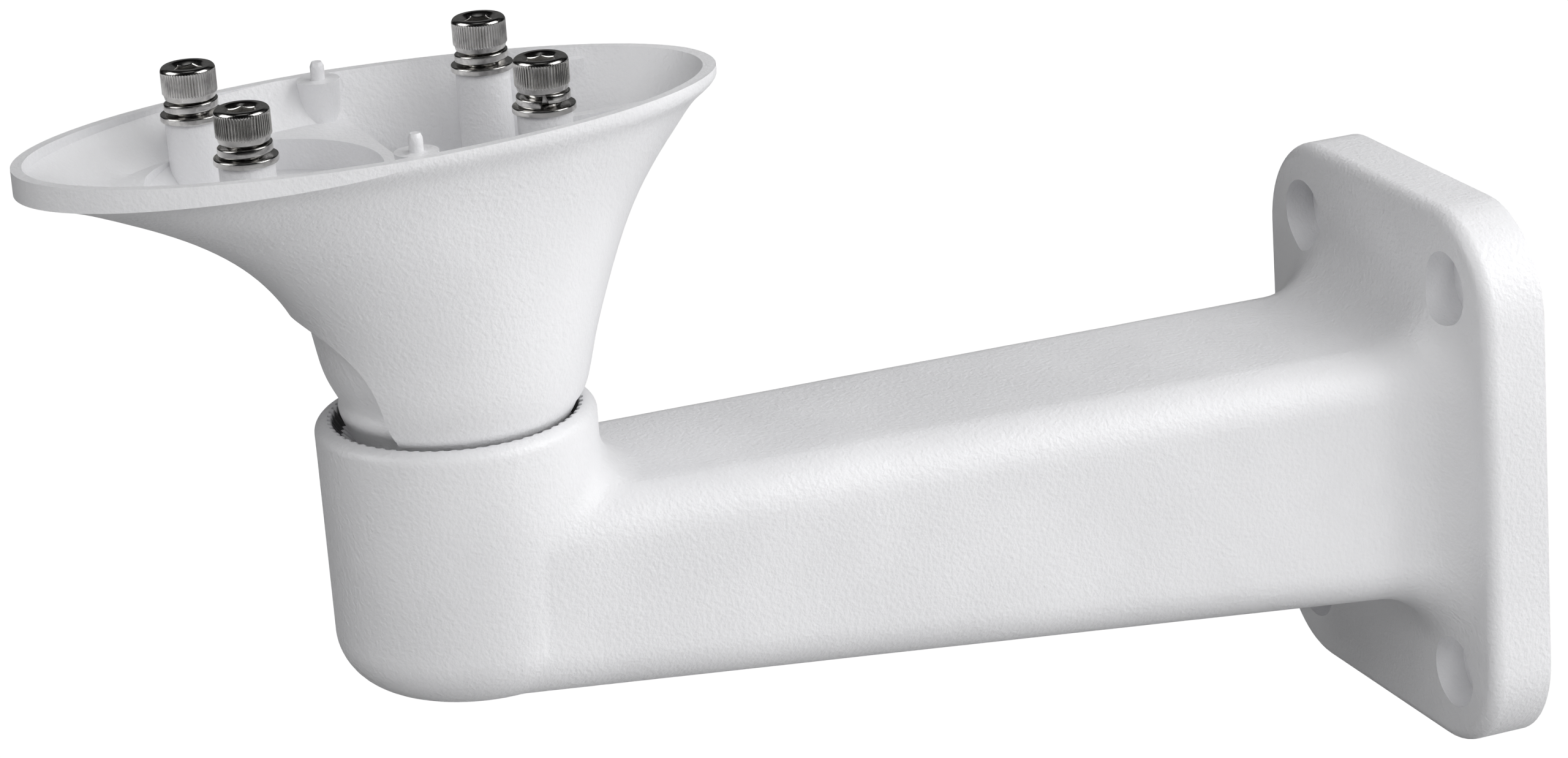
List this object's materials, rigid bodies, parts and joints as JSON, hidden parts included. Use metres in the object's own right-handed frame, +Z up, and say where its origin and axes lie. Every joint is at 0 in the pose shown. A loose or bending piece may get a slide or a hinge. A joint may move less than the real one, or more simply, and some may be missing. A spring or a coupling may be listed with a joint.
{
  "type": "camera wall bracket",
  "caption": "Wall bracket for a camera housing: plate and tapered hollow arm with a cup at its end, and an oval flared head on a ball seat that pans and tilts.",
  "frame": {"origin": "centre of the wall plate's back face, on the wall", "axes": "+Z up, +Y into the wall, so the arm reaches along -Y, +X to the side"},
  "size_m": [0.115, 0.3635, 0.2165],
  "materials": {
    "powder_coat": "fine textured powder coat, off-white",
    "bright_steel": "nickel-plated steel, polished"
  },
  "bodies": {
    "arm": {"wall_arm": "powder_coat"},
    "clamp": {"clamp_cup": "powder_coat", "clamp_washer": "bright_steel", "clamp_bolt": "bright_steel"},
    "head": {"head": "powder_coat", "camera_screw_1": "bright_steel", "spring_washer_1": "bright_steel", "flat_washer_1": "bright_steel", "camera_screw_2": "bright_steel", "spring_washer_2": "bright_steel", "flat_washer_2": "bright_steel", "camera_screw_3": "bright_steel", "spring_washer_3": "bright_steel", "flat_washer_3": "bright_steel", "camera_screw_4": "bright_steel", "spring_washer_4": "bright_steel", "flat_washer_4": "bright_steel"}
  },
  "joints": [
    {"name": "head_pan", "type": "hinge", "parent": "arm", "child": "clamp", "pos_m": [0, -0.264, 0.073], "axis": [0, 0, 1], "continuous": true},
    {"name": "head_tilt", "type": "hinge", "parent": "clamp", "child": "head", "pos_m": [0, -0.264, 0.073], "axis": [1, 0, 0], "range_deg": [-8, 28]}
  ]
}
